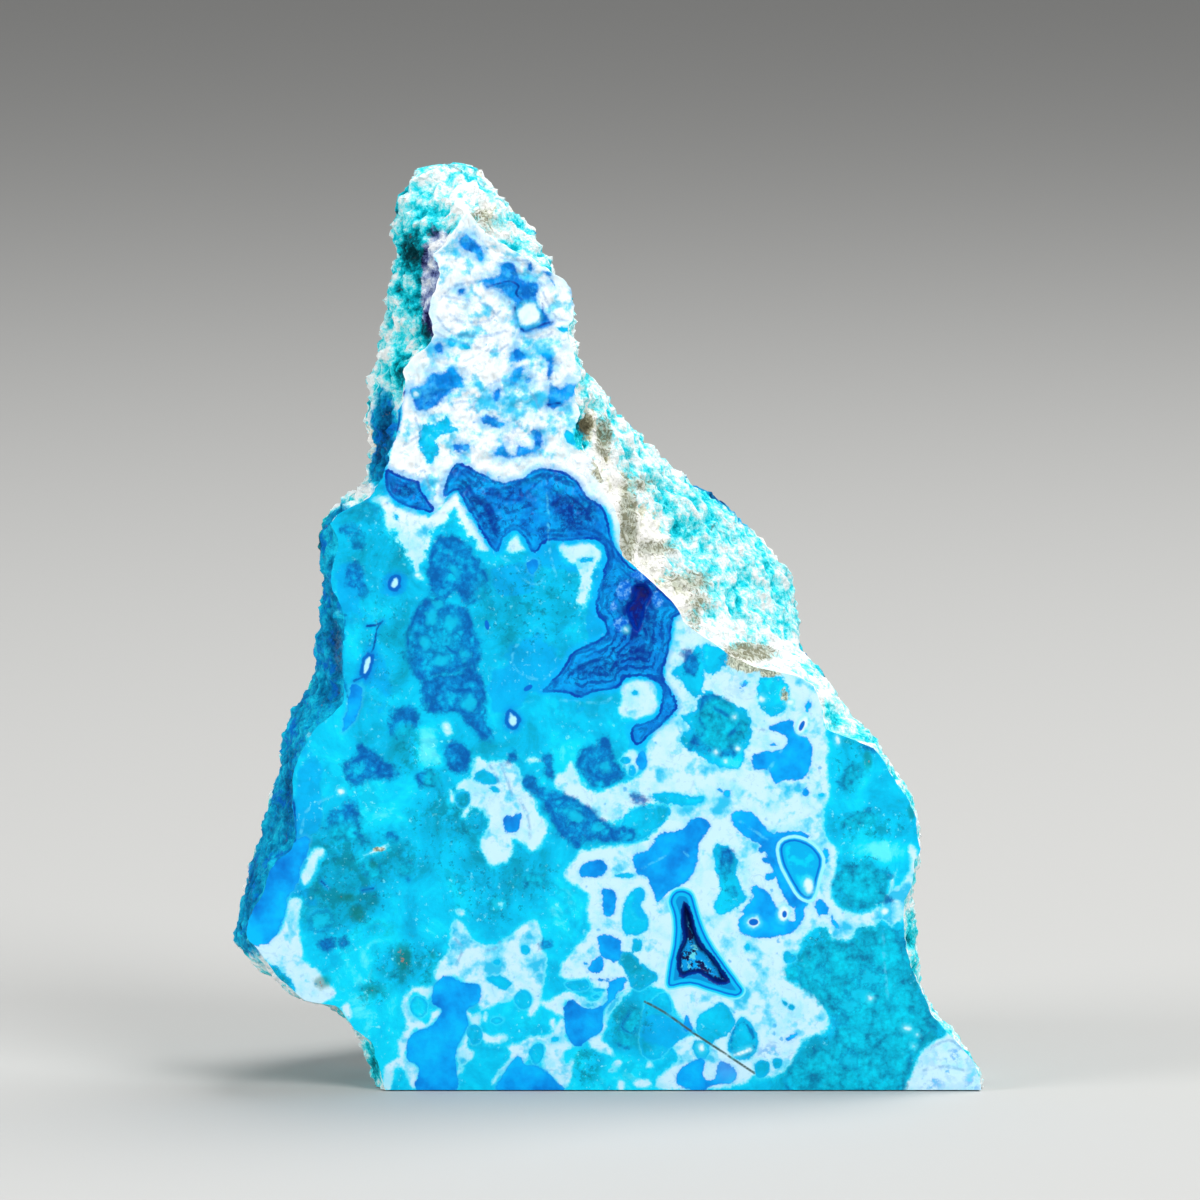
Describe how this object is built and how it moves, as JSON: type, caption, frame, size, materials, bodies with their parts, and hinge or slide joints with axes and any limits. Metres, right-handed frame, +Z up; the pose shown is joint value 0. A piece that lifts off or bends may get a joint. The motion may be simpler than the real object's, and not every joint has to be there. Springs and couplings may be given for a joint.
{
  "type": "rough shattuckite specimen",
  "caption": "Upright piece of blue rough shattuckite with a flat sawn front, a flat sawn base and broken, crusty skin all round.",
  "frame": {"origin": "middle of the bounding box, on the plane of the sawn base", "axes": "+Z up through the tip, sawn front facing -Y, +X to the right seen from the front"},
  "size_m": [0.0608, 0.035, 0.074],
  "materials": {
    "stone": "Blue copper-silicate stone: turquoise and sky blue with white and navy banding, softly polished on the sawn front, dull and sugary on the broken skin."
  },
  "bodies": {
    "root": {"shattuckite_rough": "stone"}
  },
  "joints": []
}
